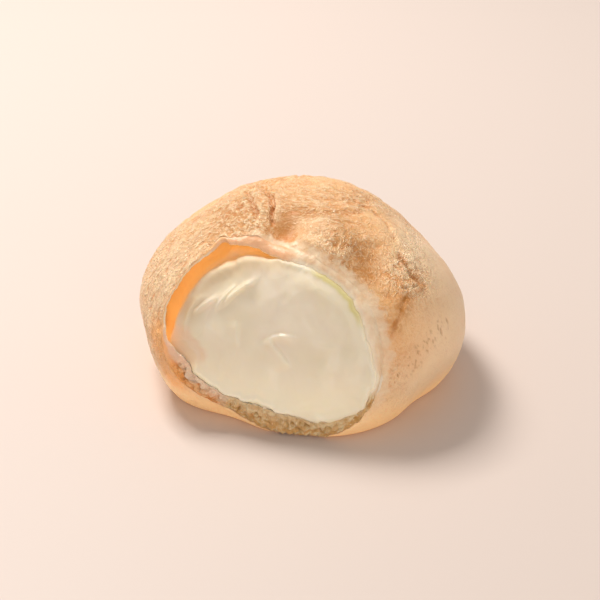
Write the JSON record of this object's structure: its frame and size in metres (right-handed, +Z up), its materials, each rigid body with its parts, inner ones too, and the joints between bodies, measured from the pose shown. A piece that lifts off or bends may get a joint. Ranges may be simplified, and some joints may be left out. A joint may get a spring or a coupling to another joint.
{
  "type": "cream puff",
  "caption": "Round choux cream puff with its front torn open on a smooth swelling cream filling.",
  "frame": {"origin": "on the surface that the puff stands on, at the middle of the shell's footprint box", "axes": "+Z up; the torn opening faces -Y and a little -X; +X is to the right, seen from the opening"},
  "size_m": [0.0912, 0.0884, 0.0526],
  "materials": {
    "choux": "baked golden crust, satin where it is smooth",
    "cream": "smooth moist cream"
  },
  "bodies": {
    "root": {"choux_shell": "choux", "cream_filling": "cream"}
  },
  "joints": []
}
